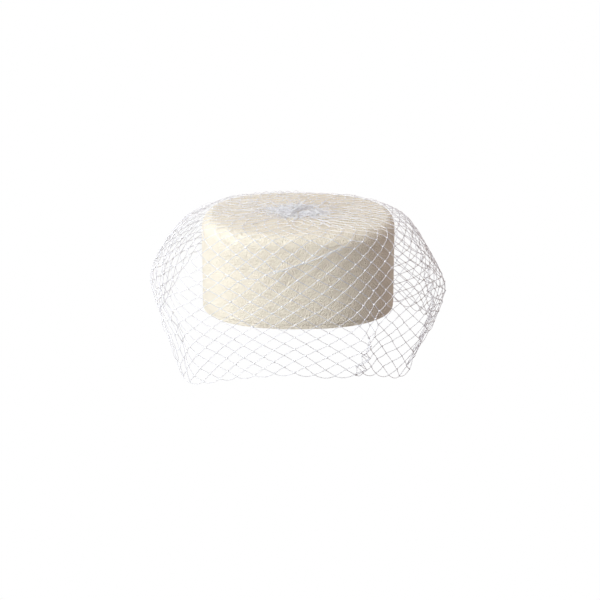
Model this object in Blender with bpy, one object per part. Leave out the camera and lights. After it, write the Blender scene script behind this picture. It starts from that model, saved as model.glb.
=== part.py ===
"""A cream felt pillbox hat under a short white birdcage veil.

Three pieces, in metres, +Z up, front of the hat towards -Y:
crown       one blocked felt shell, top and side wall in one, open below
edge_band   the narrow folded felt edge under the wall
veil_net    the coarse diamond net, gathered on the top and hanging past the rim
The origin is the middle of the rim, where the hat sits on a head.
"""

import math

import bmesh
import bpy

# Driving sizes of the felt hat
HAT_WIDTH = 0.176
HAT_DEPTH = 0.176
HAT_HEIGHT = 0.085
FELT_THICKNESS = 0.0026
TOP_ROUNDING = 0.0105
TOP_DOME = 0.0015
TOP_FALL = 0.0018
EDGE_BAND_HEIGHT = 0.0036
EDGE_BAND_THICKNESS = 0.0028
PLAN_SQUARENESS = 2.39

# Driving sizes of the net: how far it stands out from the wall, how far its
# lowest corner hangs under the top, its gathered middle, a strand's width and
# depth, and how much the springy net lifts off the felt at the top's edge
VEIL_REACH = 0.048
VEIL_DROP = 0.147
GATHER_RADIUS = 0.032
GATHER_HEIGHT = 0.0034
STRAND_WIDTH = 0.0052
STRAND_DEPTH = 0.0011
EDGE_LIFT = 0.0007

# Clearances between pieces that touch
BAND_GAP = 0.0003
VEIL_GAP = 0.0005

# Resolution
PLAN_POINTS = 60
ROUNDING_POINTS = 4
NET_COLUMNS = 18
NET_ROWS = 6

# How the top edge's rounding changes round the hat: share of TOP_ROUNDING
ROUNDING_SECTIONS = (
    # azimuth, rounding
    (-90.0, 1.20),
    (0.0, 1.00),
    (90.0, 0.90),
    (180.0, 1.10),
)

# Soft dents in the felt: place round the hat and up the wall, half sizes as
# degrees and a share of HAT_HEIGHT, depth as a share of FELT_THICKNESS
FELT_DENTS = (
    # azimuth, height, half_angle, half_height, depth
    (-38.0, 0.62, 26.0, 0.30, 0.35),
    (14.0, 0.80, 22.0, 0.22, 0.30),
    (58.0, 0.45, 24.0, 0.35, -0.30),
    (150.0, 0.55, 30.0, 0.30, 0.35),
)

# Sections of the veil: out is a share of VEIL_REACH beyond the wall, down is
# a share of VEIL_DROP under the top. Azimuth 0 is the front, 90 the hat's right.
VEIL_SECTIONS = (
    # azimuth, shoulder_out, shoulder_down, belly_out, belly_down, low_out, low_down, hem_out, hem_down
    (-150.0, 0.10, 0.027, 0.20, 0.193, 0.30, 0.286, 0.34, 0.385),
    (-124.0, 0.16, 0.032, 0.39, 0.162, 0.43, 0.244, 0.39, 0.326),
    (-104.0, 0.26, 0.038, 0.80, 0.265, 0.84, 0.398, 0.68, 0.540),
    (-90.0, 0.34, 0.038, 0.98, 0.337, 0.86, 0.491, 0.84, 0.660),
    (-76.0, 0.34, 0.036, 0.88, 0.338, 0.76, 0.594, 0.62, 0.820),
    (-62.0, 0.26, 0.030, 0.65, 0.331, 0.61, 0.649, 0.47, 1.002),
    (-46.0, 0.16, 0.026, 0.37, 0.327, 0.38, 0.644, 0.29, 0.934),
    (-30.0, 0.12, 0.021, 0.20, 0.315, 0.24, 0.611, 0.21, 0.870),
    (0.0, 0.11, 0.018, 0.15, 0.305, 0.19, 0.580, 0.22, 0.816),
    (17.0, 0.11, 0.018, 0.14, 0.308, 0.18, 0.595, 0.19, 0.857),
    (30.0, 0.12, 0.020, 0.18, 0.321, 0.22, 0.600, 0.17, 0.845),
    (46.0, 0.15, 0.023, 0.35, 0.346, 0.36, 0.620, 0.24, 0.882),
    (63.0, 0.22, 0.026, 0.62, 0.364, 0.55, 0.640, 0.30, 0.956),
    (77.0, 0.27, 0.034, 0.82, 0.382, 0.75, 0.587, 0.54, 0.785),
    (90.0, 0.27, 0.036, 0.95, 0.401, 0.98, 0.534, 0.80, 0.700),
    (122.0, 0.16, 0.034, 0.71, 0.409, 0.80, 0.553, 0.74, 0.737),
    (152.0, 0.10, 0.027, 0.50, 0.397, 0.58, 0.541, 0.56, 0.705),
    (180.0, 0.10, 0.025, 0.34, 0.292, 0.43, 0.416, 0.45, 0.539),
)

# Folds of the veil: ridges are positive and grooves negative, as a share of
# VEIL_REACH. from_row and to_row are shares of the way from gather to hem.
VEIL_FOLDS = (
    # azimuth, half_angle, depth, from_row, to_row
    (-84.0, 13.0, 0.10, 0.30, 0.95),
    (-66.0, 12.0, -0.12, 0.45, 1.10),
    (-40.0, 14.0, -0.08, 0.55, 1.10),
    (31.0, 11.0, 0.16, 0.55, 1.10),
    (46.0, 11.0, -0.14, 0.60, 1.10),
    (66.0, 12.0, 0.10, 0.30, 1.00),
    (106.0, 14.0, -0.10, 0.35, 1.10),
    (-116.0, 14.0, 0.08, 0.45, 1.10),
)

# Rows of the net that lie on fixed places of the hat; the rows under them
# share the way from the shoulder to the hem
EDGE_ROW = 1.0
SHOULDER_ROW = 1.5
HEM_ROW = NET_ROWS + 1.0
# The hem's cells are open half diamonds: how far their foot sags, and their
# middle, both in rows
HEM_SCALLOP = 0.14
HEM_CELL_MIDDLE = -0.35
COLUMN_SPREAD = -0.15
CURVE_SAMPLES = 24


def blend_round(azimuth, table, column):
    """A table's column at an azimuth in degrees, smooth all the way round."""
    rows = sorted(table)
    count = len(rows)
    azimuth = (azimuth - rows[0][0]) % 360.0 + rows[0][0]
    after = next((i for i in range(count) if rows[i][0] > azimuth), count)

    def knot(i):
        turns, place = divmod(i, count)
        return rows[place][0] + 360.0 * turns, rows[place][column]

    def slope(i):
        (a0, v0), (a1, v1), (a2, v2) = knot(i - 1), knot(i), knot(i + 1)
        before, behind = (v1 - v0) / (a1 - a0), (v2 - v1) / (a2 - a1)
        if before * behind <= 0.0:
            return 0.0
        return 2.0 * before * behind / (before + behind)

    (a0, v0), (a1, v1) = knot(after - 1), knot(after)
    span = a1 - a0
    t = (azimuth - a0) / span
    return (
        v0 * (1 + 2 * t) * (1 - t) ** 2
        + v1 * t * t * (3 - 2 * t)
        + span * slope(after - 1) * t * (1 - t) ** 2
        + span * slope(after) * t * t * (t - 1)
    )


def hump(distance):
    """A soft hump of height 1 that ends at a distance of 1."""
    return 0.5 + 0.5 * math.cos(math.pi * distance) if abs(distance) < 1.0 else 0.0


def turned(azimuth, other):
    """Degrees from one azimuth to another, the short way."""
    return (azimuth - other + 180.0) % 360.0 - 180.0


def plan_radius(azimuth, inset=0.0):
    """Radius of the hat's squarish round plan, less an inset."""
    angle = math.radians(azimuth)
    across = abs(math.sin(angle)) / (HAT_WIDTH / 2 - inset)
    along = abs(math.cos(angle)) / (HAT_DEPTH / 2 - inset)
    return (across**PLAN_SQUARENESS + along**PLAN_SQUARENESS) ** (-1 / PLAN_SQUARENESS)


def place(azimuth, radius, height):
    angle = math.radians(azimuth)
    return radius * math.sin(angle), -radius * math.cos(angle), height


def top_height(azimuth, radius):
    """Height of the felt top: a low dome that falls to the hat's right."""
    share = radius / plan_radius(azimuth)
    fall = TOP_FALL * radius * math.sin(math.radians(azimuth)) / HAT_WIDTH
    return HAT_HEIGHT - TOP_DOME * share * share - fall


def rounding(azimuth):
    return TOP_ROUNDING * blend_round(azimuth, ROUNDING_SECTIONS, 1)


def dent_depth(azimuth, height):
    depth = 0.0
    for at, up, half_angle, half_height, share in FELT_DENTS:
        across = hump(turned(azimuth, at) / half_angle)
        depth += share * across * hump((height / HAT_HEIGHT - up) / half_height)
    return depth * FELT_THICKNESS


def crown_profile(azimuth):
    """(radius, height) down one line of the crown, from near the middle to the rim."""
    bend = rounding(azimuth)
    flat = plan_radius(azimuth, bend)
    points = [(flat * share, top_height(azimuth, flat * share)) for share in (0.3, 0.6, 0.85, 1.0)]
    edge = top_height(azimuth, flat)
    for step in range(1, ROUNDING_POINTS + 1):
        angle = math.pi / 2 * step / ROUNDING_POINTS
        inset = bend * (1 - math.sin(angle))
        points.append((plan_radius(azimuth, inset), edge - bend * (1 - math.cos(angle))))
    wall_top = edge - bend
    wall_foot = EDGE_BAND_HEIGHT + BAND_GAP
    for share in (0.25, 0.5, 0.75, 1.0):
        height = wall_top + (wall_foot - wall_top) * share
        points.append((plan_radius(azimuth, dent_depth(azimuth, height)), height))
    return points


def new_object(name, mesh_maker, material):
    mesh = bmesh.new()
    mesh_maker(mesh)
    bmesh.ops.recalc_face_normals(mesh, faces=mesh.faces)
    data = bpy.data.meshes.new(name)
    mesh.to_mesh(data)
    mesh.free()
    data.materials.append(material)
    piece = bpy.data.objects.new(name, data)
    bpy.context.scene.collection.objects.link(piece)
    return piece


def shade_round(piece, angle=40.0):
    piece.data.shade_smooth()
    piece.data.set_sharp_from_angle(angle=math.radians(angle))


def solidify(piece, thickness, offset):
    wall = piece.modifiers.new("Wall", "SOLIDIFY")
    wall.thickness = thickness
    wall.offset = offset


def make_material(name, color, roughness, sheen=0.0):
    material = bpy.data.materials.new(name)
    material.use_nodes = True
    shader = material.node_tree.nodes["Principled BSDF"]
    shader.inputs["Base Color"].default_value = (*color, 1.0)
    shader.inputs["Roughness"].default_value = roughness
    shader.inputs["Metallic"].default_value = 0.0
    shader.inputs["Sheen Weight"].default_value = sheen
    return material


def lay_rings(mesh, rings, closed=False):
    """Faces between rings of as many points; closed joins the last ring to the first."""
    rows = [[mesh.verts.new(point) for point in ring] for ring in rings]
    for upper, lower in zip(rows, rows[1:] + rows[:1] if closed else rows[1:]):
        for i, corner in enumerate(upper):
            after = (i + 1) % len(upper)
            mesh.faces.new((corner, lower[i], lower[after], upper[after]))
    return rows


def plan_azimuths():
    return [360.0 * i / PLAN_POINTS for i in range(PLAN_POINTS)]


def crown_mesh(mesh):
    """The outer skin of the blocked felt; its wall grows inwards."""
    lines = [[place(az, *point) for point in crown_profile(az)] for az in plan_azimuths()]
    rows = lay_rings(mesh, list(zip(*lines)))
    middle = mesh.verts.new((0.0, 0.0, top_height(0.0, 0.0)))
    first = rows[0]
    for i, corner in enumerate(first):
        mesh.faces.new((middle, corner, first[(i + 1) % len(first)]))


def edge_band_mesh(mesh):
    """A folded strip of felt, round below, standing under the crown's wall."""
    fold = EDGE_BAND_THICKNESS / 4
    section = (
        # inset, height
        (0.0, EDGE_BAND_HEIGHT),
        (0.0, fold),
        (fold, 0.0),
        (EDGE_BAND_THICKNESS - fold, 0.0),
        (EDGE_BAND_THICKNESS, fold),
        (EDGE_BAND_THICKNESS, EDGE_BAND_HEIGHT),
    )
    rings = [
        [place(az, plan_radius(az, inset), height) for az in plan_azimuths()]
        for inset, height in section
    ]
    lay_rings(mesh, rings, closed=True)


def column_azimuth(u):
    """Azimuth of a net column: closer together in front, wider apart behind."""
    turn = 2 * math.pi * u / NET_COLUMNS
    return math.degrees(turn + COLUMN_SPREAD * math.sin(turn))


def fold_out(azimuth, share):
    out = 0.0
    for at, half_angle, depth, from_row, to_row in VEIL_FOLDS:
        middle, half = (from_row + to_row) / 2, (to_row - from_row) / 2
        out += depth * hump(turned(azimuth, at) / half_angle) * hump((share - middle) / half)
    return out * VEIL_REACH


def veil_stations(azimuth):
    """The veil's shoulder, belly, low line and hem as (radius, height)."""
    values = [blend_round(azimuth, VEIL_SECTIONS, column) for column in range(1, 9)]
    wall = plan_radius(azimuth)
    top = top_height(azimuth, wall)
    return [
        (wall + values[i] * VEIL_REACH, top - values[i + 1] * VEIL_DROP) for i in (0, 2, 4, 6)
    ]


def through(points, t):
    """A smooth curve through points, read at t from 0, the second, to 1, the last but one."""
    spans = len(points) - 3
    i = min(int(t * spans), spans - 1)
    s = t * spans - i
    p0, p1, p2, p3 = points[i : i + 4]
    return tuple(
        0.5 * (2 * b + (c - a) * s + (2 * a - 5 * b + 4 * c - d) * s**2 + (3 * b - a - 3 * c + d) * s**3)
        for a, b, c, d in zip(p0, p1, p2, p3)
    )


def hanging_point(azimuth, share):
    """(radius, height) at a share of the way from the shoulder to the hem."""
    shoulder, belly, low, hem = veil_stations(azimuth)
    before = (2 * shoulder[0] - belly[0] * 0.6 - shoulder[0] * 0.4, shoulder[1])
    after = (2 * hem[0] - low[0], 2 * hem[1] - low[1])
    curve = [
        through([before, shoulder, belly, low, hem, after], i / CURVE_SAMPLES)
        for i in range(CURVE_SAMPLES + 1)
    ]
    lengths = [math.dist(a, b) for a, b in zip(curve, curve[1:])]
    # Past the hem the last chord goes on, for the strand along the edge
    way = share * sum(lengths)
    i = 0
    while way > lengths[i] and i < CURVE_SAMPLES - 1:
        way -= lengths[i]
        i += 1
    t = way / lengths[i]
    return tuple(a + (b - a) * t for a, b in zip(curve[i], curve[i + 1]))


def veil_point(u, row):
    """A point of the veil's inner face at a column and row of the net."""
    azimuth = column_azimuth(u)
    edge = plan_radius(azimuth, rounding(azimuth))
    if row <= EDGE_ROW:
        share = row / EDGE_ROW
        radius = GATHER_RADIUS + (edge - GATHER_RADIUS) * share
        lift = VEIL_GAP + EDGE_LIFT * share
        return place(azimuth, radius, top_height(azimuth, radius) + lift)
    if row <= SHOULDER_ROW:
        share = (row - EDGE_ROW) / (SHOULDER_ROW - EDGE_ROW)
        radius, height = veil_stations(azimuth)[0]
        start = top_height(azimuth, edge) + VEIL_GAP + EDGE_LIFT
        return place(azimuth, edge + (radius - edge) * share, start + (height - start) * share**2)
    share = (row - SHOULDER_ROW) / (HEM_ROW - SHOULDER_ROW)
    radius, height = hanging_point(azimuth, share)
    return place(azimuth, radius + fold_out(azimuth, share), height)


def cell_outline(u, row, foot=1.0, middle=0.0, share=1.0):
    """Eight points round a cell of the net, its corners and the middles of its sides.

    The outline is scaled by share about its middle, so a smaller one is its opening.
    """
    corners = ((0.0, -1.0), (-0.5, 0.0), (0.0, foot), (0.5, 0.0))
    points = []
    for (u0, r0), (u1, r1) in zip(corners, corners[1:] + corners[:1]):
        for across, along in ((u0, r0), ((u0 + u1) / 2, (r0 + r1) / 2)):
            points.append((u + across * share, row + middle + (along - middle) * share))
    return points


def opening_share(u, row):
    """How much of a cell is open, once the strands round it have their width."""
    across = math.dist(veil_point(u - 0.5, row), veil_point(u + 0.5, row)) / 2
    along = math.dist(veil_point(u, row - 1.0), veil_point(u, row))
    side = math.hypot(across, along)
    if row < HEM_ROW:
        return 1.0 - STRAND_WIDTH / 2 / (across * along / side)
    return 1.0 - STRAND_WIDTH / 2 / (across * along / (across + side))


def veil_mesh(mesh):
    """The net's inner face: a gathered middle and diamonds down to a scalloped hem."""
    hem_strand = STRAND_WIDTH / 2 / VEIL_DROP * HEM_ROW
    corners = {}

    def corner(u, row):
        key = (round(u % NET_COLUMNS, 3), round(row, 3))
        if key not in corners:
            corners[key] = mesh.verts.new(veil_point(u, row + hem_strand if row >= HEM_ROW else row))
        return corners[key]

    def cell(u, row, foot=1.0, middle=0.0):
        share = opening_share(u, row)
        outer = [corner(*point) for point in cell_outline(u, row, foot)]
        hole = [mesh.verts.new(veil_point(*p)) for p in cell_outline(u, row, foot, middle, share)]
        for i, point in enumerate(outer):
            after = (i + 1) % len(outer)
            mesh.faces.new((point, outer[after], hole[after], hole[i]))

    for i in range(NET_COLUMNS):
        for row in range(1, NET_ROWS + 1):
            cell(i + 0.5 * ((row + 1) % 2), float(row))
        cell(i + 0.5 * (NET_ROWS % 2), HEM_ROW, HEM_SCALLOP, HEM_CELL_MIDDLE)
        start, middle, end = corner(i, 0.0), corner(i + 0.5, 0.0), corner(i + 1.0, 0.0)
        left, foot, right = corner(i + 0.25, 0.5), corner(i + 0.5, 1.0), corner(i + 0.75, 0.5)
        mesh.faces.new((start, left, middle))
        mesh.faces.new((middle, left, foot, right))
        mesh.faces.new((middle, right, end))
    gather_rings(mesh, [corner(i / 2, 0.0) for i in range(2 * NET_COLUMNS)])


def gather_rings(mesh, outer):
    """The gathered middle: pleats that rise to a low knot."""
    rings = ((0.62, 0.25, 0.30), (0.26, 0.80, 0.15))
    # share of the radius, share of GATHER_HEIGHT, pleat depth as a share of it
    for radius_share, rise, pleat in rings:
        inner = []
        for i in range(2 * NET_COLUMNS):
            azimuth = column_azimuth(i / 2)
            radius = GATHER_RADIUS * radius_share
            lift = rise + pleat * (i % 2)
            height = top_height(azimuth, radius) + VEIL_GAP + GATHER_HEIGHT * lift
            inner.append(mesh.verts.new(place(azimuth, radius, height)))
        for i in range(len(outer)):
            after = (i + 1) % len(outer)
            mesh.faces.new((outer[i], outer[after], inner[after], inner[i]))
        outer = inner
    middle = mesh.verts.new((0.0, 0.0, HAT_HEIGHT + VEIL_GAP + GATHER_HEIGHT))
    for i in range(len(outer)):
        mesh.faces.new((outer[i], outer[(i + 1) % len(outer)], middle))


def make_crown():
    felt = make_material("cream_felt", (0.80, 0.74, 0.64), 0.95, 0.3)
    crown = new_object("crown", crown_mesh, felt)
    solidify(crown, FELT_THICKNESS, -1.0)
    shade_round(crown)


def make_edge_band():
    felt = make_material("edge_felt", (0.76, 0.69, 0.58), 0.95, 0.3)
    shade_round(new_object("edge_band", edge_band_mesh, felt))


def make_veil():
    net = make_material("white_net", (0.90, 0.89, 0.90), 0.6)
    veil = new_object("veil_net", veil_mesh, net)
    solidify(veil, STRAND_DEPTH, 1.0)
    shade_round(veil)


def main():
    for old in list(bpy.data.objects):
        bpy.data.objects.remove(old, do_unlink=True)
    make_crown()
    make_edge_band()
    make_veil()


main()
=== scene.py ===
"""Looks of the cream felt pillbox hat and its white birdcage veil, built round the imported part."""
import math

import bpy
import numpy as np
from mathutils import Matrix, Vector


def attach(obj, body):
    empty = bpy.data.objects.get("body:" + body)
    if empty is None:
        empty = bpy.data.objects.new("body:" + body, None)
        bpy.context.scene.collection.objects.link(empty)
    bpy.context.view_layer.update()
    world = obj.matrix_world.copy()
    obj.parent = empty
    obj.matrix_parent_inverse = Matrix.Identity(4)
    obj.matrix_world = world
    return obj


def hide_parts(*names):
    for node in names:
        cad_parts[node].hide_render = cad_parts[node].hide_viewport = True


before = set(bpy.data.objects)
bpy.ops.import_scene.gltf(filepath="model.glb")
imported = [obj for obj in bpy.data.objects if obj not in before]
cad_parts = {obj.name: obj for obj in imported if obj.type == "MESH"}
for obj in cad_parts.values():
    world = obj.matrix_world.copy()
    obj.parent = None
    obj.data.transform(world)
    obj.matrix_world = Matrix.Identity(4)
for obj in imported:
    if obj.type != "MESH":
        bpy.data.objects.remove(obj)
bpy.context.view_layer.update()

# Sizes of the felt hat, in metres, as in the part. Azimuths are degrees round
# the hat: 0 is the front (-Y), and 90 (+X) is on the right as the front is seen.
HAT_WIDTH = 0.176
HAT_DEPTH = 0.176
HAT_HEIGHT = 0.085
FELT_THICKNESS = 0.0026
TOP_ROUNDING = 0.0105
TOP_DOME = 0.0015
TOP_FALL = 0.0018
EDGE_BAND_HEIGHT = 0.0036
EDGE_BAND_THICKNESS = 0.0028
BAND_GAP = 0.0003
WALL_FOOT = EDGE_BAND_HEIGHT + 0.2 * BAND_GAP
PLAN_SQUARENESS = 2.39
VEIL_REACH = 0.048
VEIL_DROP = 0.147

# The netting: the side of its diamonds, its count of diamonds, where it starts
# from the middle of the top, and how near to the felt its knots may lie
THREAD_SIDE = 0.0106
THREAD_RADIUS = 0.00028
THREAD_CLEARANCE = THREAD_RADIUS * 1.3
KNOT_RADIUS = 0.00088
NET_COLUMNS = 44
NET_ROWS = 31
GATHER_START = 0.0045
NET_GAP = 0.0004

# Where the net lies on the top, threads and knots are drawn this much thinner,
# as though sunk into the felt's nap
SUNK_THREAD = 0.33
SUNK_KNOT = 0.35

# The bend between the top and the wall, as a share of TOP_ROUNDING
ROUNDING_SECTIONS = (
    # azimuth, rounding
    (-90.0, 1.20),
    (0.0, 1.00),
    (90.0, 0.90),
    (180.0, 1.10),
)

# Shallow dents in the wall: heights are shares of HAT_HEIGHT, depths of FELT_THICKNESS
FELT_DENTS = (
    # azimuth, height, half_angle, half_height, depth
    (-38.0, 0.62, 26.0, 0.30, 0.35),
    (14.0, 0.80, 22.0, 0.22, 0.30),
    (58.0, 0.45, 24.0, 0.35, -0.30),
    (150.0, 0.55, 30.0, 0.30, 0.35),
)

# The hanging veil's line at each azimuth: out is a share of VEIL_REACH beyond the
# wall, down is a share of VEIL_DROP below the edge of the top
VEIL_SECTIONS = (
    # azimuth, shoulder_out, shoulder_down, belly_out, belly_down, low_out, low_down, hem_out, hem_down
    (-150.0, 0.10, 0.027, 0.20, 0.193, 0.30, 0.286, 0.34, 0.385),
    (-124.0, 0.16, 0.032, 0.39, 0.162, 0.43, 0.244, 0.39, 0.326),
    (-104.0, 0.26, 0.038, 0.80, 0.265, 0.84, 0.398, 0.68, 0.540),
    (-90.0, 0.34, 0.038, 0.98, 0.337, 0.86, 0.491, 0.84, 0.660),
    (-76.0, 0.34, 0.036, 0.88, 0.338, 0.76, 0.594, 0.62, 0.820),
    (-62.0, 0.26, 0.030, 0.65, 0.331, 0.61, 0.649, 0.47, 1.002),
    (-46.0, 0.16, 0.026, 0.37, 0.327, 0.38, 0.644, 0.29, 0.934),
    (-30.0, 0.12, 0.021, 0.20, 0.315, 0.24, 0.611, 0.21, 0.870),
    (0.0, 0.11, 0.018, 0.15, 0.305, 0.19, 0.580, 0.22, 0.816),
    (17.0, 0.11, 0.018, 0.14, 0.308, 0.18, 0.595, 0.19, 0.857),
    (30.0, 0.12, 0.020, 0.18, 0.321, 0.22, 0.600, 0.17, 0.845),
    (46.0, 0.15, 0.023, 0.35, 0.346, 0.36, 0.620, 0.24, 0.882),
    (63.0, 0.22, 0.026, 0.62, 0.364, 0.55, 0.640, 0.30, 0.956),
    (77.0, 0.27, 0.034, 0.82, 0.382, 0.75, 0.587, 0.54, 0.785),
    (90.0, 0.27, 0.036, 0.95, 0.401, 0.98, 0.534, 0.80, 0.700),
    (122.0, 0.16, 0.034, 0.71, 0.409, 0.80, 0.553, 0.74, 0.737),
    (152.0, 0.10, 0.027, 0.50, 0.397, 0.58, 0.541, 0.56, 0.705),
    (180.0, 0.10, 0.025, 0.34, 0.292, 0.43, 0.416, 0.45, 0.539),
)

# Soft folds: depth is a share of VEIL_REACH, from_row and to_row are shares of the
# way from shoulder to hem
VEIL_FOLDS = (
    # azimuth, half_angle, depth, from_row, to_row
    (-84.0, 13.0, 0.10, 0.30, 0.95),
    (-66.0, 12.0, -0.12, 0.45, 1.10),
    (-40.0, 14.0, -0.08, 0.55, 1.10),
    (31.0, 11.0, 0.16, 0.55, 1.10),
    (46.0, 11.0, -0.14, 0.60, 1.10),
    (66.0, 12.0, 0.10, 0.30, 1.00),
    (106.0, 14.0, -0.10, 0.35, 1.10),
    (-116.0, 14.0, 0.08, 0.45, 1.10),
)

# How many net columns there are to a degree round the hat, outside the pleats
COLUMN_CROWDING = (
    # azimuth, columns_per_degree
    (-150.0, 0.104),
    (-124.0, 0.106),
    (-104.0, 0.118),
    (-88.0, 0.126),
    (-66.0, 0.122),
    (-46.0, 0.104),
    (-20.0, 0.096),
    (0.0, 0.094),
    (17.0, 0.098),
    (32.0, 0.106),
    (46.0, 0.114),
    (60.0, 0.124),
    (90.0, 0.130),
    (122.0, 0.120),
    (152.0, 0.108),
    (180.0, 0.104),
)

# Z-shaped pleats that take up the net's fullness: where each is at its top and
# at the hem, half its width, how much net it holds for its width, how far its
# layers stand apart, and the shares of the way down where it starts and is whole
PLEATS = (
    # azimuth_up, azimuth_down, half_angle, fullness, lift, starts, whole
    (-72.0, -66.0, 5.0, 1.8, 0.0022, 0.40, 0.60),
    (74.0, 68.0, 5.5, 1.8, 0.0024, 0.40, 0.60),
    (37.0, 31.0, 6.0, 2.1, 0.0028, 0.80, 0.95),
)
PLEAT_DRIFT = 34.0            # degrees over which the net beside a pleat goes along with it

# A crease that runs slantwise over the front of the net, where its rows bunch
CREASE = (
    # azimuth, height
    (-34.0, 0.0440),
    (-24.0, 0.0480),
    (-8.0, 0.0560),
    (8.0, 0.0660),
    (22.0, 0.0740),
    (36.0, 0.0790),
)
CREASE_WIDTH = 0.0085
CREASE_PULL = 0.80
CREASE_LIFT = 0.0012
CREASE_FADE = 8.0             # degrees over which it fades at its ends
CREASE_STRANDS = 3
CREASE_POINTS = 60
CREASE_ENDS = (-15.0, 23.0)

# Small pits in the felt near the front of the top edge
FELT_PITS = (
    # azimuth, way down from the flat as a share of the rounding, radius, depth
    (-62.0, 0.35, 0.0012, 0.00030),
    (-47.0, 0.55, 0.0011, 0.00025),
    (-34.0, 0.30, 0.0013, 0.00032),
    (-22.0, 0.60, 0.0012, 0.00030),
    (-12.0, 0.45, 0.0012, 0.00032),
    (-3.0, 0.75, 0.0011, 0.00028),
    (9.0, 0.50, 0.0015, 0.00040),
    (24.0, 0.70, 0.0014, 0.00040),
)


def blend_round(azimuth, table, column):
    """A table's column at azimuths in degrees, smooth all the way round."""
    rows = np.array(sorted(table))
    at = np.concatenate([rows[:, 0] - 360.0, rows[:, 0], rows[:, 0] + 360.0])
    value = np.tile(rows[:, column], 3)
    chord = np.diff(value) / np.diff(at)
    slope = np.zeros_like(value)
    before, behind = chord[:-1], chord[1:]
    same = before * behind > 0.0
    slope[1:-1][same] = 2.0 * before[same] * behind[same] / (before[same] + behind[same])
    azimuth = (np.asarray(azimuth, float) - rows[0, 0]) % 360.0 + rows[0, 0]
    i = np.searchsorted(at, azimuth, side="right") - 1
    span = at[i + 1] - at[i]
    t = (azimuth - at[i]) / span
    return (
        value[i] * (1 + 2 * t) * (1 - t) ** 2
        + value[i + 1] * t * t * (3 - 2 * t)
        + span * slope[i] * t * (1 - t) ** 2
        + span * slope[i + 1] * t * t * (t - 1)
    )


def smooth(share):
    """Eases a share from 0 to 1 in and out."""
    return share * share * (3 - 2 * share)


def hump(distance):
    """A soft hump of height 1 that ends at a distance of 1."""
    return np.where(np.abs(distance) < 1.0, 0.5 + 0.5 * np.cos(np.pi * distance), 0.0)


def turned(azimuth, other):
    """Degrees from one azimuth to another, the short way."""
    return (azimuth - other + 180.0) % 360.0 - 180.0


def plan_radius(azimuth, inset=0.0):
    """The wall's radius, less an inset: a circle drawn out some 6% at four rounded corners."""
    angle = np.radians(azimuth)
    across = np.abs(np.sin(angle)) / (HAT_WIDTH / 2 - inset)
    along = np.abs(np.cos(angle)) / (HAT_DEPTH / 2 - inset)
    return (across**PLAN_SQUARENESS + along**PLAN_SQUARENESS) ** (-1 / PLAN_SQUARENESS)


def place(azimuth, radius, height):
    """Points from azimuths, radii and heights."""
    angle = np.radians(azimuth)
    return np.stack([radius * np.sin(angle), -radius * np.cos(angle), height + 0 * angle], axis=-1)


def top_height(azimuth, radius):
    """The top's height, which falls from the middle and a little towards the right."""
    share = radius / plan_radius(azimuth)
    fall = TOP_FALL * radius * np.sin(np.radians(azimuth)) / HAT_WIDTH
    return HAT_HEIGHT - TOP_DOME * share * share - fall


def rounding(azimuth):
    """The radius of the bend between the top and the wall."""
    return TOP_ROUNDING * blend_round(azimuth, ROUNDING_SECTIONS, 1)


def dent_depth(azimuth, height):
    """How far the wall is dented in."""
    depth = 0.0
    for at, up, half_angle, half_height, share in FELT_DENTS:
        across = hump(turned(azimuth, at) / half_angle)
        depth = depth + share * across * hump((height / HAT_HEIGHT - up) / half_height)
    return depth * FELT_THICKNESS


def fold_out(azimuth, share):
    """How far the veil's folds stand out."""
    out = 0.0
    for at, half_angle, depth, from_row, to_row in VEIL_FOLDS:
        middle, half = (from_row + to_row) / 2, (to_row - from_row) / 2
        out = out + depth * hump(turned(azimuth, at) / half_angle) * hump((share - middle) / half)
    return out * VEIL_REACH


# Value noise, smooth and the same each run
NOISE_TABLE = np.random.default_rng(7).uniform(-1.0, 1.0, 4096)
NOISE_PRIMES = (73856093, 19349663, 83492791)


def noise(points, size, seed=0):
    """Smooth noise from -1 to 1 at points, with lumps about size across."""
    scaled = points / size
    cell = np.floor(scaled).astype(np.int64)
    part = smooth(scaled - cell)
    total = 0.0
    for dx in (0, 1):
        for dy in (0, 1):
            for dz in (0, 1):
                key = seed * 2654435
                for axis, step in enumerate((dx, dy, dz)):
                    key = key ^ ((cell[..., axis] + step) * NOISE_PRIMES[axis])
                weight = 1.0
                for axis, step in enumerate((dx, dy, dz)):
                    weight = weight * (part[..., axis] if step else 1 - part[..., axis])
                total = total + weight * NOISE_TABLE[key & 4095]
    return total


def unit(vectors):
    """The vectors, each at a length of 1."""
    return vectors / np.maximum(np.linalg.norm(vectors, axis=-1, keepdims=True), 1e-12)


def mesh_object(name, points, faces, material):
    """A mesh from arrays of points and of faces with as many corners each."""
    mesh = bpy.data.meshes.new(name)
    points = np.asarray(points, np.float32).reshape(-1, 3)
    faces = np.asarray(faces, np.int32)
    count, corners = faces.shape
    mesh.vertices.add(len(points))
    mesh.vertices.foreach_set("co", points.ravel())
    mesh.loops.add(count * corners)
    mesh.loops.foreach_set("vertex_index", faces.ravel())
    mesh.polygons.add(count)
    mesh.polygons.foreach_set("loop_start", np.arange(0, count * corners, corners, dtype=np.int32))
    mesh.update(calc_edges=True)
    mesh.validate()
    mesh.shade_smooth()
    mesh.materials.append(material)
    piece = bpy.data.objects.new(name, mesh)
    bpy.context.scene.collection.objects.link(piece)
    return piece


def grid_faces(rows, columns, wrap_rows=False):
    """Faces of a grid whose columns close round; wrap_rows joins the last row to the first."""
    row = np.arange(rows if wrap_rows else rows - 1)[:, None]
    column = np.arange(columns)[None, :]
    after, below = (column + 1) % columns, (row + 1) % rows
    corners = (
        row * columns + column, below * columns + column, below * columns + after, row * columns + after
    )
    return np.stack([np.broadcast_to(c, (len(row), columns)) for c in corners], axis=-1).reshape(-1, 4)


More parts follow.
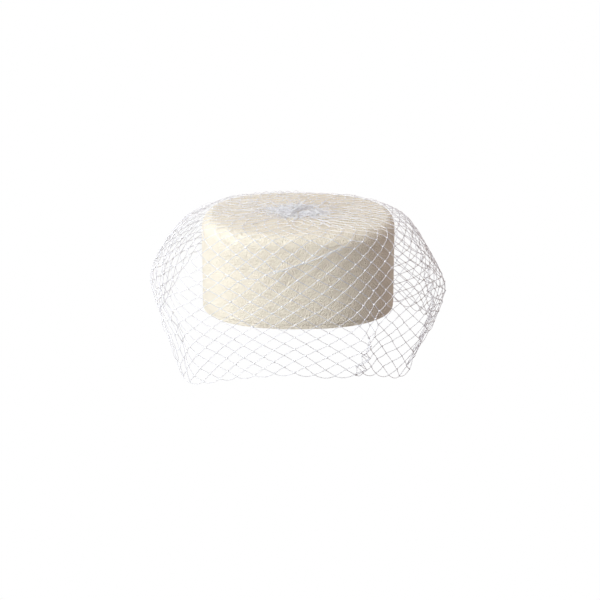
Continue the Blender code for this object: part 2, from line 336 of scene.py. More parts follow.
def ring_faces(count, rings, sides):
    """Faces of count separate tubes, each a row of rings of points, open at both ends."""
    base = np.arange(count)[:, None, None] * rings * sides
    row = np.arange(rings - 1)[None, :, None] * sides
    side = np.arange(sides)[None, None, :]
    after = (side + 1) % sides
    a, b = base + row + side, base + row + after
    return np.stack([a, b, b + sides, a + sides], axis=-1).reshape(-1, 4)


def grid_normals(grid):
    """Outward normals of a grid of points that closes round its second axis."""
    along = np.gradient(grid, axis=0)
    around = np.roll(grid, -1, axis=1) - np.roll(grid, 1, axis=1)
    return -unit(np.cross(around, along))


# Materials

# Base colours, paler and deeper; on the felt the deeper colour, laid in the nap's hollows, is painted shade
WOOL = ((0.920, 0.838, 0.702), (0.880, 0.793, 0.652))
EDGE = ((0.910, 0.828, 0.692), (0.870, 0.783, 0.642))
VEILING = ((0.70, 0.685, 0.725), (0.63, 0.615, 0.655))
# A paler copy of the veiling thread's colours: painted light that lifts the shade where threads crowd in the
# gather, the knots and the crease
THREAD_PAINTED_PALER = ((0.88, 0.87, 0.895), (0.81, 0.80, 0.825))


def new_material(name):
    material = bpy.data.materials.new(name)
    material.use_nodes = True
    return material, material.node_tree.nodes, material.node_tree.links


def add_node(nodes, kind, values):
    """A node with its unlinked inputs set."""
    node = nodes.new(kind)
    for name, value in values.items():
        node.inputs[name].default_value = value
    return node


def two_tone(nodes, links, factor, light, dark, shader):
    """Mixes the shader's base colour from a paler and a deeper one."""
    mix = nodes.new("ShaderNodeMix")
    mix.data_type = "RGBA"
    mix.inputs["A"].default_value = (*dark, 1.0)
    mix.inputs["B"].default_value = (*light, 1.0)
    links.new(factor, mix.inputs["Factor"])
    links.new(mix.outputs["Result"], shader.inputs["Base Color"])


def felt_material(name, light, dark):
    """Matt wool felt: a cream with paler and deeper spots, a crinkled nap and loose fibres; the deeper colour
    in the fibres' hollows is painted shade.
    """
    material, nodes, links = new_material(name)
    shader = nodes["Principled BSDF"]
    shader.inputs["Roughness"].default_value = 0.95
    shader.inputs["Specular IOR Level"].default_value = 0.12
    shader.inputs["Sheen Weight"].default_value = 0.18
    shader.inputs["Sheen Roughness"].default_value = 0.6
    where = nodes.new("ShaderNodeTexCoord")

    def texture(scale, detail, roughness, distortion):
        node = add_node(nodes, "ShaderNodeTexNoise", {
            "Scale": scale, "Detail": detail, "Roughness": roughness, "Distortion": distortion,
        })
        links.new(where.outputs["Object"], node.inputs["Vector"])
        return node

    blotch = texture(60.0, 4.0, 0.6, 0.3)
    crinkle = texture(950.0, 1.0, 0.5, 0.0)
    fibre = texture(1250.0, 3.0, 0.6, 0.6)
    # Spots: 0.35 of the blotches added to the fibres. The blotches are the felt's own uneven tone; where the
    # fibres sink, as in the fine bump, the deeper colour is painted shade
    blotch_and_nap_height = nodes.new("ShaderNodeMath")
    blotch_and_nap_height.operation = "MULTIPLY_ADD"
    blotch_and_nap_height.inputs[1].default_value = 0.35
    blotch_and_hollow_shade = add_node(nodes, "ShaderNodeMapRange", {"From Min": 0.50, "From Max": 0.85})
    links.new(blotch.outputs["Fac"], blotch_and_nap_height.inputs[0])
    links.new(fibre.outputs["Fac"], blotch_and_nap_height.inputs[2])
    links.new(blotch_and_nap_height.outputs[0], blotch_and_hollow_shade.inputs["Value"])
    two_tone(nodes, links, blotch_and_hollow_shade.outputs["Result"], light, dark, shader)
    low = add_node(nodes, "ShaderNodeBump", {"Strength": 1.0, "Distance": 0.0016})
    fine = add_node(nodes, "ShaderNodeBump", {"Strength": 0.8, "Distance": 0.0009})
    links.new(crinkle.outputs["Fac"], low.inputs["Height"])
    links.new(fibre.outputs["Fac"], fine.inputs["Height"])
    links.new(low.outputs["Normal"], fine.inputs["Normal"])
    links.new(fine.outputs["Normal"], shader.inputs["Normal"])
    return material


def thread_material(name, light, dark):
    """White veiling thread: slightly uneven and translucent, with a soft sheen of its twist."""
    material, nodes, links = new_material(name)
    shader = nodes["Principled BSDF"]
    shader.inputs["Roughness"].default_value = 0.5
    shader.inputs["Sheen Weight"].default_value = 0.1
    shader.inputs["Subsurface Weight"].default_value = 1.0
    shader.inputs["Subsurface Radius"].default_value = (1.0, 1.0, 1.0)
    shader.inputs["Subsurface Scale"].default_value = 0.0010
    where = nodes.new("ShaderNodeTexCoord")
    uneven = add_node(nodes, "ShaderNodeTexNoise", {"Scale": 260.0, "Detail": 3.0})
    twist = add_node(nodes, "ShaderNodeTexWave", {"Scale": 900.0, "Distortion": 2.0})
    bump = add_node(nodes, "ShaderNodeBump", {"Strength": 0.3, "Distance": 0.0001})
    links.new(where.outputs["Object"], uneven.inputs["Vector"])
    links.new(where.outputs["Object"], twist.inputs["Vector"])
    two_tone(nodes, links, uneven.outputs["Fac"], light, dark, shader)
    links.new(twist.outputs["Fac"], bump.inputs["Height"])
    links.new(bump.outputs["Normal"], shader.inputs["Normal"])
    return material


# The felt

FELT_COLUMNS = 640
OUTER_STEPS = (24, 21, 90)    # over the top, the bend and the wall
INNER_STEPS = (7, 4, 7)
DENT_FADE = 0.034             # how far below the bend the dents reach their whole depth
FELT_WAVES = (
    # height, size, seed
    (0.00010, 0.030, 1),
    (0.00004, 0.011, 2),
)
NAP_HEIGHT = 0.00013
NAP_SIZE = 0.0009
NAP_SEED = 4
BAND_SIDES = 24
BAND_RELIEF = 0.35
BAND_RECESS = 0.00030
BAND_RECESS_AT = 65.0
BAND_CORNERS = (0.12, 0.14)   # across and up: 1 is a round section, 0 a square one


def crown_section(azimuth, steps, inset):
    """Rows of (radius, height) from near the middle of the top to the wall's foot."""
    top_steps, bend_steps, wall_steps = steps
    bend = rounding(azimuth)
    wall, flat = plan_radius(azimuth), plan_radius(azimuth, bend)
    rows = [
        (flat * share, top_height(azimuth, flat * share) - inset)
        for share in np.linspace(0.01, 1.0, top_steps)
    ]
    edge = top_height(azimuth, flat)
    for step in range(1, bend_steps + 1):
        angle = math.pi / 2 * step / bend_steps
        across = flat + (wall - flat) * ((bend - inset) / bend * math.sin(angle))
        rows.append((across, edge - bend + (bend - inset) * math.cos(angle)))
    wall_top = edge - bend
    for share in np.linspace(0.0, 1.0, wall_steps + 1)[1:]:
        height = wall_top + (WALL_FOOT - wall_top) * share
        dent = dent_depth(azimuth, height) * smooth(np.clip((wall_top - height) / DENT_FADE, 0.0, 1.0))
        rows.append((plan_radius(azimuth, dent) - inset, height))
    return rows


def felt_relief(points):
    """How far the felt stands in or out: soft waves, and off the top a pebbled nap."""
    relief = sum(height * noise(points, size, seed) for height, size, seed in FELT_WAVES)
    off_top = np.clip((HAT_HEIGHT - 0.0030 - points[..., 2]) / 0.005, 0.0, 1.0)
    return relief + NAP_HEIGHT * noise(points, NAP_SIZE, NAP_SEED) * off_top


def make_crown(material):
    """The felt shell, outside and inside in one closed mesh."""
    azimuth = np.arange(FELT_COLUMNS) * 360.0 / FELT_COLUMNS
    outer = crown_section(azimuth, OUTER_STEPS, 0.0)
    inner = crown_section(azimuth, INNER_STEPS, FELT_THICKNESS)
    outside = np.stack([place(azimuth, r, z) for r, z in outer])
    inside = np.stack([place(azimuth, r, z) for r, z in inner])
    relief = felt_relief(outside)
    for at, down, radius, depth in FELT_PITS:
        bend = rounding(at)
        angle = math.pi / 2 * down
        spot = place(at, plan_radius(at, bend * (1 - math.sin(angle))),
                     top_height(at, plan_radius(at, bend)) - bend * (1 - math.cos(angle)))
        relief = relief - depth * np.exp(-np.sum((outside - spot) ** 2, axis=-1) / radius**2)
    fade = np.clip((outside[..., 2] - EDGE_BAND_HEIGHT - BAND_GAP) / 0.002, 0.0, 1.0)
    outside = outside + grid_normals(outside) * (relief * (0.3 + 0.7 * fade))[..., None]
    # The flat cut foot of the wall
    lip = [outside[-1] * (1 - share) + inside[-1] * share for share in (0.2, 0.5, 0.8)]
    rows = np.concatenate([outside, np.stack(lip), inside[::-1]])
    return mesh_object("crown_felt", rows, grid_faces(len(rows), FELT_COLUMNS), material)


def make_edge_band(material):
    """The folded edge: a band of nearly square section, set back a little at the right."""
    azimuth = np.arange(FELT_COLUMNS) * 360.0 / FELT_COLUMNS
    half = EDGE_BAND_THICKNESS / 2
    recess = BAND_RECESS * hump(turned(azimuth, BAND_RECESS_AT) / BAND_RECESS_AT) ** 0.5
    rows = []
    for step in range(BAND_SIDES):
        turn = 2 * math.pi * (step + 0.5) / BAND_SIDES
        across, up = math.cos(turn), math.sin(turn)
        across = math.copysign(abs(across) ** BAND_CORNERS[0], across)
        up = math.copysign(abs(up) ** BAND_CORNERS[1], up)
        radius = plan_radius(azimuth, half - half * across + recess)
        rows.append(place(azimuth, radius, EDGE_BAND_HEIGHT / 2 * (1 + up)))
    rows = np.stack(rows[::-1])
    rows = rows + grid_normals(rows) * (felt_relief(rows) * BAND_RELIEF)[..., None]
    return mesh_object("edge_band_felt", rows, grid_faces(len(rows), FELT_COLUMNS, True), material)


# The net

MERIDIAN_POINTS = 90
SURFACE_COLUMNS = 360
HANGING_POINTS = 60
NET_STEPS = 260
GOAL_PULL = 0.10              # how much of the way back to its goal a knot moves each step
THREAD_PULL = 0.4             # how much of its threads' pull it follows
SLACK_PUSH = 0.25             # a slack thread pushes this much of what a tight one pulls
MOST_OPEN = 0.93              # half a diamond's width at most, as a share of its side
CRUMPLE = 0.0024
CRUMPLE_SIZE = 0.014
CRUMPLE_END = 0.080           # radius where it ends, and over how much it fades
CRUMPLE_FADE = 0.025

# Shares of the way down from which the columns go from evenly spaced to crowded
# and from crowded to pleated, and over how much of it
CROWDED_FROM, CROWDED_OVER = 0.04, 0.34
PLEATED_FROM, PLEATED_OVER = 0.42, 0.40


def catmull(points, samples):
    """Points on a smooth curve through points[1:-1]; each point is an array over azimuths."""
    out = []
    spans = len(points) - 3
    for t in np.linspace(0.0, spans, samples):
        i = min(int(t), spans - 1)
        s = t - i
        a, b, c, d = points[i : i + 4]
        out.append(
            0.5 * (2 * b + (c - a) * s + (2 * a - 5 * b + 4 * c - d) * s**2 + (3 * b - a - 3 * c + d) * s**3)
        )
    return np.stack(out)


def meridians(azimuth):
    """The veil's line down from the gather to the hem: (points, azimuths, (radius, height))."""
    v = [blend_round(azimuth, VEIL_SECTIONS, column) for column in range(1, 9)]
    wall, edge = plan_radius(azimuth), plan_radius(azimuth, rounding(azimuth))
    top = top_height(azimuth, wall)
    stations = [
        np.stack([wall + v[i] * VEIL_REACH, top - v[i + 1] * VEIL_DROP], axis=-1) for i in (0, 2, 4, 6)
    ]
    shoulder, belly, low, hem = stations
    before = np.stack([1.6 * shoulder[:, 0] - 0.6 * belly[:, 0], shoulder[:, 1]], axis=-1)
    hanging = catmull([before, shoulder, belly, low, hem, 2 * hem - low], HANGING_POINTS)
    fold_share = np.linspace(0.0, 1.0, HANGING_POINTS)[:, None]
    hanging[..., 0] += fold_out(azimuth[None, :], fold_share)
    flat = []
    for share in np.linspace(0.0, 1.0, 20):
        radius = GATHER_START + (edge - GATHER_START) * share
        flat.append(np.stack([radius, top_height(azimuth, radius) + NET_GAP], axis=-1))
    arch = []
    start = flat[-1]
    for share in np.linspace(0.1, 0.9, 9):
        arch.append(np.stack([
            start[:, 0] + (shoulder[:, 0] - start[:, 0]) * share,
            start[:, 1] + (shoulder[:, 1] - start[:, 1]) * share**2,
        ], axis=-1))
    return np.concatenate([np.stack(flat), np.stack(arch), hanging])


class VeilSurface:
    """The veil's cloth as a grid that is read by azimuth and by the share of the way down."""

    def __init__(self):
        self.azimuth = np.arange(SURFACE_COLUMNS) * 360.0 / SURFACE_COLUMNS
        lines = meridians(self.azimuth)
        steps = np.linalg.norm(np.diff(lines, axis=0), axis=-1)
        way = np.concatenate([np.zeros((1, SURFACE_COLUMNS)), np.cumsum(steps, axis=0)])
        self.length = way[-1]
        shares = np.linspace(0.0, 1.0, MERIDIAN_POINTS)
        self.grid = np.empty((MERIDIAN_POINTS, SURFACE_COLUMNS, 2))
        for column in range(SURFACE_COLUMNS):
            for k in range(2):
                self.grid[:, column, k] = np.interp(
                    shares * way[-1, column], way[:, column], lines[:, column, k]
                )
        self.shares = self.row_shares()

    def row_shares(self):
        """The share of the way down at each net row, from the height that the diamonds take there."""
        turn = np.radians(1.0 / (blend_round(self.azimuth, COLUMN_CROWDING, 1) * crowding_scale()))
        half = np.minimum(self.grid[..., 0] * turn / 2, MOST_OPEN * THREAD_SIDE)
        drop = np.sqrt(THREAD_SIDE**2 - half**2)
        step = self.length / (MERIDIAN_POINTS - 1)
        counts = np.cumsum(step * 2 / (drop[1:] + drop[:-1]), axis=0)
        rows = np.concatenate([np.zeros((1, SURFACE_COLUMNS)), counts])
        shares = np.linspace(0.0, 1.0, MERIDIAN_POINTS)
        out = np.empty((NET_ROWS + 1, SURFACE_COLUMNS))
        for column in range(SURFACE_COLUMNS):
            at = np.arange(NET_ROWS + 1) / NET_ROWS * rows[-1, column]
            out[:, column] = np.interp(at, rows[:, column], shares)
        return out

    def row_share(self, azimuth, row):
        """The share of the way down of net rows at azimuths in degrees."""
        column = (np.asarray(azimuth) % 360.0) / 360.0 * SURFACE_COLUMNS
        c0 = np.floor(column).astype(int) % SURFACE_COLUMNS
        part = column - np.floor(column)
        return self.shares[row, c0] * (1 - part) + self.shares[row, (c0 + 1) % SURFACE_COLUMNS] * part

    def read(self, azimuth, share):
        """Points at azimuths in degrees and shares of the way from gather to hem."""
        column = (np.asarray(azimuth) % 360.0) / 360.0 * SURFACE_COLUMNS
        row = np.clip(share, 0.0, 1.0) * (MERIDIAN_POINTS - 1)
        c0 = np.floor(column).astype(int) % SURFACE_COLUMNS
        c1 = (c0 + 1) % SURFACE_COLUMNS
        r0 = np.minimum(np.floor(row).astype(int), MERIDIAN_POINTS - 2)
        fc, fr = (column - np.floor(column))[..., None], (row - r0)[..., None]
        upper = self.grid[r0, c0] * (1 - fc) + self.grid[r0, c1] * fc
        lower = self.grid[r0 + 1, c0] * (1 - fc) + self.grid[r0 + 1, c1] * fc
        point = upper * (1 - fr) + lower * fr
        return place(np.asarray(azimuth, float), point[..., 0], point[..., 1])


def pleat_box(distance):
    """1 inside a pleat, 0 outside, for a distance in half widths."""
    return np.clip((1.2 - np.abs(distance)) / 0.4, 0.0, 1.0)


def crowding_count(azimuth, pleats=PLEATS):
    """Net columns to a degree as the tables give them, more of them in each pleat."""
    columns = blend_round(azimuth, COLUMN_CROWDING, 1)
    for _, down, half_angle, fullness, *_ in pleats:
        columns = columns * (1 + (fullness - 1) * pleat_box(turned(azimuth, down) / half_angle))
    return columns


def crowding_scale():
    """What makes the tables' count of columns come to NET_COLUMNS."""
    around = np.linspace(-180.0, 180.0, 1441)[:-1]
    return NET_COLUMNS / (crowding_count(around).mean() * 360.0)


def column_azimuth(u, pleats=PLEATS):
    """Azimuth of net columns, crowded where the net is pleated."""
    azimuth = np.linspace(-180.0, 180.0, 1441)
    crowding = crowding_count(azimuth, pleats)
    count = np.concatenate([[0.0], np.cumsum((crowding[1:] + crowding[:-1]) / 2)])
    return np.interp(u % NET_COLUMNS, count / count[-1] * NET_COLUMNS, azimuth)


def pleated(azimuth, share):
    """(azimuth, lift) of the net's points once it lies in its pleats."""
    lift = 0.0 * azimuth
    for up, down, half_angle, fullness, most, start, whole in PLEATS:
        strength = smooth(np.clip((share - start) / (whole - start), 0.0, 1.0))
        move = (up - down) * (1 - np.clip((share - start) / (1.0 - start), 0.0, 1.0))
        azimuth = azimuth + move * hump(turned(azimuth, down) / PLEAT_DRIFT)
        away = turned(azimuth, down + move) / half_angle
        middle = (1 - 1 / fullness) / 2
        reach = fullness * (1 + 1 / fullness) / 2 - 1
        folded = np.interp(away, (-1.0, -middle, middle, 1.0), (-1.0, reach, -reach, 1.0))
        inside = np.abs(away) < 1.0
        azimuth = np.where(inside, azimuth + strength * (folded - away) * half_angle, azimuth)
        side = np.interp(away, (-1.0, -middle, middle, 1.0), (0.0, 1.0, -1.0, 0.0))
        lift = lift + strength * most * side * inside
    return azimuth, lift


def push_off_hat(points, gap):
    """Moves points that lie in the felt, or nearer than gap, straight out of it."""
    radius = np.hypot(points[..., 0], points[..., 1])
    azimuth = np.degrees(np.arctan2(points[..., 0], -points[..., 1]))
    bend, wall = rounding(azimuth), plan_radius(azimuth)
    top = top_height(azimuth, np.minimum(radius, wall))
    across, up = radius - (wall - bend), points[..., 2] - (top - bend)
    reach = np.hypot(np.maximum(across, 0), np.maximum(up, 0))
    outside = reach + np.minimum(np.maximum(across, up), 0.0) - bend
    need = np.maximum(gap - outside, 0.0) * (points[..., 2] > 0.0)
    length = np.maximum(reach, 1e-9)
    corner = (across > 0) | (up > 0)
    out = np.where(corner, np.maximum(across, 0) / length, (across > up) * 1.0)
    rise = np.where(corner, np.maximum(up, 0) / length, (across <= up) * 1.0)
    moved = points.copy()
    moved[..., :2] += points[..., :2] / np.maximum(radius, 1e-9)[..., None] * (out * need)[..., None]
    moved[..., 2] += rise * need
    return moved


def creased(azimuth, point):
    """Draws the knots near the crease towards it, and stands them off a little."""
    at, height = np.array(CREASE).T
    away = turned(azimuth, 0.0)
    line = np.interp(away, at, height)
    ends = np.clip((away - at[0]) / CREASE_FADE, 0.0, 1.0) * np.clip((at[-1] - away) / CREASE_FADE, 0.0, 1.0)
    off = point[..., 2] - line
    pull = CREASE_PULL * hump(off / CREASE_WIDTH) * ends
    moved = point.copy()
    moved[..., 2] -= off * pull
    return moved + place(azimuth, CREASE_LIFT * pull, 0.0)


def crumpled(point, random):
    """The knots that lie on the hat's top, pushed about and lifted as in a crushed net."""
    radius = np.hypot(point[:, 0], point[:, 1])
    on_top = np.clip((CRUMPLE_END - radius) / CRUMPLE_FADE, 0.0, 1.0) * (point[:, 2] > HAT_HEIGHT - 0.006)
    shift = np.stack([noise(point, CRUMPLE_SIZE, seed) for seed in (11, 12, 13)], axis=-1) * 2.0
    shift += random.normal(0.0, 0.8, point.shape)
    shift[:, 2] = np.abs(shift[:, 2]) * 0.12
    return push_off_hat(point + shift * (CRUMPLE * on_top)[:, None], NET_GAP)


def net_threads():
    """The two knots that each thread joins, row by row."""
    index = np.arange((NET_ROWS + 1) * NET_COLUMNS).reshape(NET_ROWS + 1, NET_COLUMNS)
    upper, lower = [], []
    for row in range(NET_ROWS):
        other = np.roll(index[row + 1], 1 if row % 2 == 0 else -1)
        for below in (index[row + 1], other):
            upper.append(index[row])
            lower.append(below)
    return np.concatenate(upper), np.concatenate(lower)


def net_knots(surface, random):
    """The net's knots: laid on the veil's surface, then drawn to threads of one length."""
    rows = np.arange(NET_ROWS + 1)
    u = np.arange(NET_COLUMNS)[None, :] + 0.5 * (rows[:, None] % 2)
    azimuth = column_azimuth(u)
    plain = column_azimuth(u, ())
    share = surface.row_share(azimuth, np.broadcast_to(rows[:, None], u.shape))
    pleating = smooth(np.clip((share - PLEATED_FROM) / PLEATED_OVER, 0.0, 1.0))
    azimuth = plain + turned(azimuth, plain) * pleating
    azimuth, lift = pleated(azimuth, share)
    even = (u % NET_COLUMNS) / NET_COLUMNS * 360.0 - 180.0
    evenness = smooth(1.0 - np.clip((share - CROWDED_FROM) / CROWDED_OVER, 0.0, 1.0))
    azimuth = azimuth + turned(even, azimuth) * evenness
    goal = creased(azimuth, surface.read(azimuth, share) + place(azimuth, lift, 0.0))
    goal = goal + random.normal(0.0, 0.0002, goal.shape) * [1.0, 1.0, 0.4]
    goal = goal.reshape(-1, 3)
    upper, lower = net_threads()
    point = goal.copy()
    for _ in range(NET_STEPS):
        line = point[lower] - point[upper]
        length = np.linalg.norm(line, axis=-1)
        off = length - THREAD_SIDE
        off = np.where(off < 0, off * SLACK_PUSH, off)
        shift = line * (off / np.maximum(length, 1e-9) * 0.5)[:, None]
        move = np.zeros_like(point)
        np.add.at(move, upper, shift)
        np.add.at(move, lower, -shift)
        point[NET_COLUMNS:] += move[NET_COLUMNS:] * THREAD_PULL
        point += (goal - point) * GOAL_PULL
        point = push_off_hat(point, NET_GAP)
    turn = np.degrees(np.arctan2(point[:, 0], -point[:, 1]))
    point = push_off_hat(creased(turn, point), NET_GAP)
    return crumpled(point, random), upper, lower


def tubes(paths, radius, sides):
    """Tubes along paths, an array of (tubes, points, 3), open at their ends."""
    count, length, _ = paths.shape
    along = unit(np.gradient(paths, axis=1))
    up = np.where(np.abs(along[..., 2:3]) > 0.9, [1.0, 0.0, 0.0], [0.0, 0.0, 1.0])
    first = unit(np.cross(along, up))
    # One frame for each tube, so that its sides don't twist
    first = np.repeat(first[:, length // 2][:, None], length, axis=1)
    first = unit(first - along * np.sum(first * along, axis=-1, keepdims=True))
    second = np.cross(along, first)
    turn = 2 * np.pi * np.arange(sides) / sides
    ring = np.cos(turn)[:, None] * first[:, :, None] + np.sin(turn)[:, None] * second[:, :, None]
    points = paths[:, :, None] + ring * np.broadcast_to(radius, (count, length))[..., None, None]
    return points.reshape(-1, 3), ring_faces(count, length, sides)


def sunk(height):
    """From 0 to 1 as the net comes up over the edge to lie on the felt's top."""
    return np.clip((height - HAT_HEIGHT + 0.006) / 0.005, 0.0, 1.0)


def thread_paths(point, upper, lower, random):
    """Each thread from knot to knot, bowed a little where it is slack."""
    start, end = point[upper], point[lower]
    line = end - start
    length = np.linalg.norm(line, axis=-1)
    slack = np.clip(THREAD_SIDE - length, 0.0, 0.0004)
    bow = np.sqrt(0.375 * length * slack) * 0.4 + 0.00005
    on_top = (start[:, 2] + end[:, 2]) / 2 > HAT_HEIGHT - 0.004
    bow = bow + on_top * random.uniform(0.0, 0.0017, bow.shape)
    middle = (start + end) / 2
    outward = unit(middle * [1.0, 1.0, 0.0])
    outward = outward + np.array([0, 0, 0.15]) * (middle[:, 2:3] > HAT_HEIGHT * 0.9)
    wobble = random.normal(0.0, 1.0, line.shape) * np.where(on_top[:, None], [0.7, 0.7, 0.2], 0.7)
    direction = outward + wobble
    along = unit(line)
    direction = unit(direction - along * np.sum(direction * along, axis=-1, keepdims=True))
    t = np.linspace(0.0, 1.0, 5)
    paths = start[:, None] + line[:, None] * t[None, :, None]
    arc = np.sin(np.pi * t)[None, :, None]
    paths = paths + direction[:, None] * bow[:, None, None] * arc
    return push_off_hat(paths, THREAD_CLEARANCE)


def blobs(centres, along, across, lengths, widths):
    """Small closed six-sided knots, longer along one direction."""
    third = unit(np.cross(along, across))
    rings = ((-0.92, 0.35), (-0.4, 0.92), (0.4, 0.92), (0.92, 0.35))
    sides = 6
    turn = 2 * np.pi * np.arange(sides) / sides
    around = np.cos(turn)[:, None] * across[:, None] + np.sin(turn)[:, None] * third[:, None]
    points = [
        centres[:, None] + along[:, None] * (lift * lengths)[:, None, None]
        + around * (wide * widths)[:, None, None]
        for lift, wide in rings
    ]
    points = np.stack(points, axis=1)
    base = np.arange(len(centres))[:, None] * len(rings) * sides
    last = (len(rings) - 1) * sides
    caps = [
        base + first + np.array(order)
        for first, order in ((0, (0, 5, 4, 3)), (0, (0, 3, 2, 1)), (last, (0, 1, 2, 3)), (last, (0, 3, 4, 5)))
    ]
    faces = ring_faces(len(centres), len(rings), sides)
    return points.reshape(-1, 3), np.concatenate([faces, *caps])


def knot_axes(grid, random):
    """Each knot's long and short direction in the net: across the diamonds, tilted a little."""
    around = unit(np.roll(grid, -1, axis=1) - np.roll(grid, 1, axis=1))
    down = unit(np.gradient(grid, axis=0))
    down = unit(down - around * np.sum(down * around, axis=-1, keepdims=True))
    tilt = random.normal(0.0, 0.35, grid.shape[:2])[..., None]
    along = around * np.cos(tilt) + down * np.sin(tilt)
    across = down * np.cos(tilt) - around * np.sin(tilt)
    return along, across


def make_net(material, paler_painted_thread):
    """Threads, knots, hem thread, gather and crease of the veil."""
    random = np.random.default_rng(11)
    surface = VeilSurface()
    point, upper, lower = net_knots(surface, random)
    paths = thread_paths(point, upper, lower, random)
    radius = THREAD_RADIUS * (1.0 - SUNK_THREAD * sunk(paths[..., 2]))
    threads = mesh_object("veil_threads", *tubes(paths, radius, 5), material)
    grid = point.reshape(NET_ROWS + 1, NET_COLUMNS, 3)
    along, across = knot_axes(grid, random)
    # The first row is inside the gather and has no knots
    centres, along, across = (part[1:].reshape(-1, 3) for part in (grid, along, across))
    centres = push_off_hat(centres, KNOT_RADIUS * 0.8)
    sizes = KNOT_RADIUS * random.uniform(0.85, 1.2, len(centres))
    sizes *= 1.0 - SUNK_KNOT * sunk(centres[:, 2])
    # The knots take the thread's paler copy, painted light that makes them brighter than the threads
    knots = mesh_object("veil_knots", *blobs(centres, along, across, sizes * 1.25, sizes * 0.85), paler_painted_thread)
    hem = make_hem(grid[-1], material)
    # The gather and the crease take it too, painted light against the shade between their crowded threads
    gather = make_gather(random, paler_painted_thread)
    crease = make_crease(surface, paler_painted_thread)
    return threads, knots, hem, gather, crease


GATHER_THREADS = 190
GATHER_REACH = 0.033
GATHER_STEPS = 14


def make_gather(random, material):
    """The net's drawn-up edge: crumpled threads that run in to the stitched middle."""
    t = np.linspace(0.0, 1.0, GATHER_STEPS)[None, :]
    count = GATHER_THREADS
    start = random.uniform(-180.0, 180.0, (count, 1))
    reach = GATHER_REACH * random.uniform(0.45, 1.0, (count, 1))
    bend = random.normal(0.0, 28.0, (count, 1))
    inner = random.uniform(0.001, 0.021, (count, 1))
    radius = inner + (reach - inner) * t
    azimuth = start + bend * (1 - t) ** 1.5
    rise = random.uniform(0.0003, 0.0021, (count, 1))
    arch = np.clip(t * random.uniform(0.9, 1.5, (count, 1)), 0.0, 1.0)
    height = HAT_HEIGHT - 0.0003 + rise * np.sin(np.pi * arch) ** 1.3
    points = place(azimuth, radius, height)
    crumple = np.zeros_like(points)
    for size, most in ((4.0, 0.0016), (9.0, 0.0007)):
        phase = random.uniform(0.0, 2 * np.pi, (count, 1, 3))
        rate = random.uniform(0.5, 1.5, (count, 1, 3)) * size
        crumple += most * np.sin(rate * t[..., None] * 2.0 + phase)
    points = points + crumple * [1.0, 1.0, 0.6] * np.sin(np.pi * np.clip(t, 0.05, 0.95))[..., None]
    points = push_off_hat(points, THREAD_CLEARANCE)
    return mesh_object("veil_gather", *tubes(points, THREAD_RADIUS * 0.72, 5), material)


HEM_SAG = 0.0024
HEM_RADIUS = 0.00026
HEM_STEPS = 8


def make_hem(knots, material):
    """The hem's edge thread, hanging in a shallow scallop between each two knots."""
    after = np.roll(knots, -1, axis=0)
    outward = unit(knots * [1, 1, 0])
    gap = np.linalg.norm(after - knots, axis=-1)
    sag = np.minimum(HEM_SAG, gap * 0.25)
    path = []
    for step in range(HEM_STEPS):
        t = step / HEM_STEPS
        point = knots * (1 - t) + after * t
        drop = sag * math.sin(math.pi * t) ** 0.8
        path.append(point - drop[:, None] * [0, 0, 1] + outward * 0.0002)
    path = np.stack(path, axis=1).reshape(1, -1, 3)
    path = np.concatenate([path, path[:, :1]], axis=1)
    return mesh_object("veil_hem_thread", *tubes(path, HEM_RADIUS, 6), material)


def make_crease(surface, material):
    """The threads that bunch into one line where the front of the net is creased."""
    random = np.random.default_rng(19)
    azimuth = np.linspace(*CREASE_ENDS, CREASE_POINTS)
    at, heights = np.array(CREASE).T
    height = np.interp(azimuth, at, heights)
    shares = np.linspace(0.2, 1.0, 400)
    points = surface.read(np.broadcast_to(azimuth[:, None], (CREASE_POINTS, len(shares))), shares)
    first = np.argmax(points[..., 2] < height[:, None], axis=1)
    middle = points[np.arange(CREASE_POINTS), first] + place(azimuth, 0.0016, 0.0)
    t = np.linspace(0.0, 1.0, CREASE_POINTS)
    paths = []
    for strand in range(CREASE_STRANDS):
        turn = 2 * np.pi * (strand / CREASE_STRANDS + 2.3 * t) + random.uniform(-0.4, 0.4)
        apart = 0.00035 + 0.0016 * np.abs(2 * t - 1.0) ** 4
        path = middle + place(azimuth, 0.00025 * np.cos(turn), 0.0)
        path[:, 2] += apart * np.sin(turn) + 0.0006 * np.sin(9.0 * t)
        paths.append(path)
    paths = push_off_hat(np.array(paths), THREAD_CLEARANCE)
    return mesh_object("veil_crease", *tubes(paths, THREAD_RADIUS * 0.8, 5), material)


# Stage, light and camera

CAMERA_DISTANCE = 1.6255
CAMERA_ELEVATION = 16.74
CAMERA_LENS = 105.0
AIM = (0.0017, 0.0, 0.0005)
FLOOR_HEIGHT = -0.30
FLOOR_FLAT, FLOOR_CURVE, FLOOR_WALL = 3.0, 1.5, 6.0
FLOOR_SIDES = 48
SKY_COLOR = (1.0, 0.865, 0.825, 1.0)
SKY_STRENGTH = 0.26
LAMPS = (
    # name, place, aim, size, power, colour
    ("key", (-1.25, -1.22, 0.84), (0.0, 0.0, 0.03), 1.7, 56.3, (0.89, 0.96, 1.0)),
    ("top", (-0.3, -0.2, 1.8), (0.0, 0.0, 0.03), 2.0, 4.0, (0.90, 0.98, 1.0)),
    ("side", (-1.8, 0.7, 0.6), (0.0, 0.0, 0.03), 0.9, 12.0, (0.92, 0.97, 1.0)),
    ("fill", (1.6, 0.58, 0.6), (0.0, 0.0, 0.0), 1.2, 11.0, (1.0, 0.90, 0.88)),
    ("back", (0.5, 1.9, 0.8), (0.0, 0.0, 0.0), 1.4, 12.0, (1.0, 0.92, 0.89)),
)


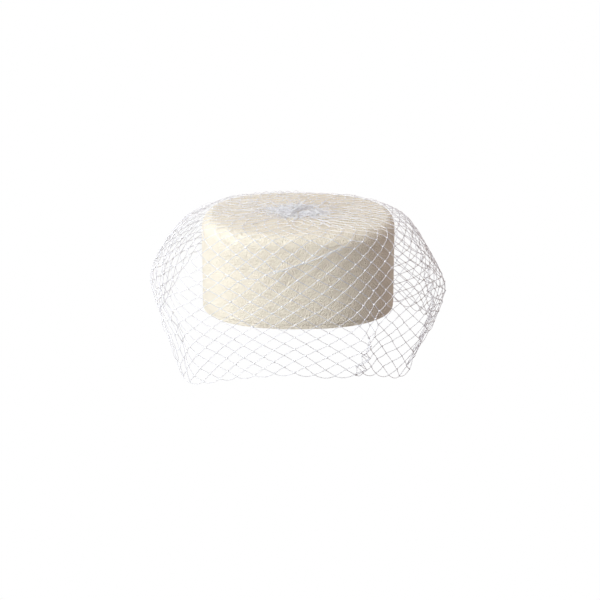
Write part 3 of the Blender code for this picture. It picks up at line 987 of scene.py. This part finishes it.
def make_stage():
    """A white studio floor that curves up on every side, and lights nothing itself."""
    material, nodes, links = new_material("floor_paint")
    glow = nodes.new("ShaderNodeEmission")
    glow.inputs["Color"].default_value = (1.0, 1.0, 1.0, 1.0)
    glow.inputs["Strength"].default_value = 1.0
    links.new(glow.outputs["Emission"], nodes["Material Output"].inputs["Surface"])
    sections = [(0.00001, 0.0), (FLOOR_FLAT / 2, 0.0), (FLOOR_FLAT, 0.0)]
    for step in range(1, 9):
        angle = math.pi / 2 * step / 8
        sections.append((FLOOR_FLAT + FLOOR_CURVE * math.sin(angle), FLOOR_CURVE * (1 - math.cos(angle))))
    sections.append((FLOOR_FLAT + FLOOR_CURVE, FLOOR_WALL))
    azimuth = np.arange(FLOOR_SIDES) * 360.0 / FLOOR_SIDES
    rows = np.stack([place(azimuth, radius, FLOOR_HEIGHT + height) for radius, height in sections])
    floor = mesh_object("floor", rows, grid_faces(len(rows), FLOOR_SIDES), material)
    floor.visible_diffuse = False
    floor.visible_glossy = False
    floor.visible_transmission = False
    floor.visible_shadow = False


def area_light(name, place_at, aim_at, size, power, color):
    """A round soft lamp, aimed at a point."""
    data = bpy.data.lights.new(name, "AREA")
    data.shape = "DISK"
    data.size = size
    data.energy = power
    data.color = color
    lamp = bpy.data.objects.new(name, data)
    lamp.location = place_at
    direction = Vector(aim_at) - Vector(place_at)
    lamp.rotation_euler = direction.to_track_quat("-Z", "Y").to_euler()
    bpy.context.scene.collection.objects.link(lamp)


def make_light():
    """Dim warm surroundings and the lamps."""
    world = bpy.data.worlds.new("studio")
    bpy.context.scene.world = world
    world.use_nodes = True
    background = world.node_tree.nodes["Background"]
    background.inputs["Color"].default_value = SKY_COLOR
    background.inputs["Strength"].default_value = SKY_STRENGTH
    for lamp in LAMPS:
        area_light(*lamp)


def make_camera():
    """The camera at the photograph's viewing angle, in front and a little above."""
    data = bpy.data.cameras.new("camera")
    data.lens = CAMERA_LENS
    data.sensor_width = 36.0
    camera = bpy.data.objects.new("camera", data)
    angle = math.radians(CAMERA_ELEVATION)
    x, y, z = AIM
    back, up = CAMERA_DISTANCE * math.cos(angle), CAMERA_DISTANCE * math.sin(angle)
    camera.location = (x, y - back, z + up)
    camera.rotation_euler = (math.pi / 2 - angle, 0.0, 0.0)
    bpy.context.scene.collection.objects.link(camera)
    bpy.context.scene.camera = camera


def main():
    bpy.context.scene.view_settings.view_transform = "Standard"
    make_camera()
    make_light()
    make_stage()
    felt = felt_material("wool_felt", *WOOL)
    edge = felt_material("edge_felt", *EDGE)
    # The same thread painted paler: painted light for the crowded threads and the knots
    paler_painted_thread = thread_material("veiling_thread_painted_paler", *THREAD_PAINTED_PALER)
    thread = thread_material("veiling_thread", *VEILING)
    crown = make_crown(felt)
    band = make_edge_band(edge)
    threads, knots, hem, gather, crease = make_net(thread, paler_painted_thread)
    for piece, node, slot in (
        (crown, "crown", "cream_felt"),
        (band, "edge_band", "edge_felt"),
        (threads, "veil_net", "white_net"),
    ):
        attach(piece, "root")
        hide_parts(node)
    for piece in (knots, hem, gather, crease):
        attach(piece, "root")


main()
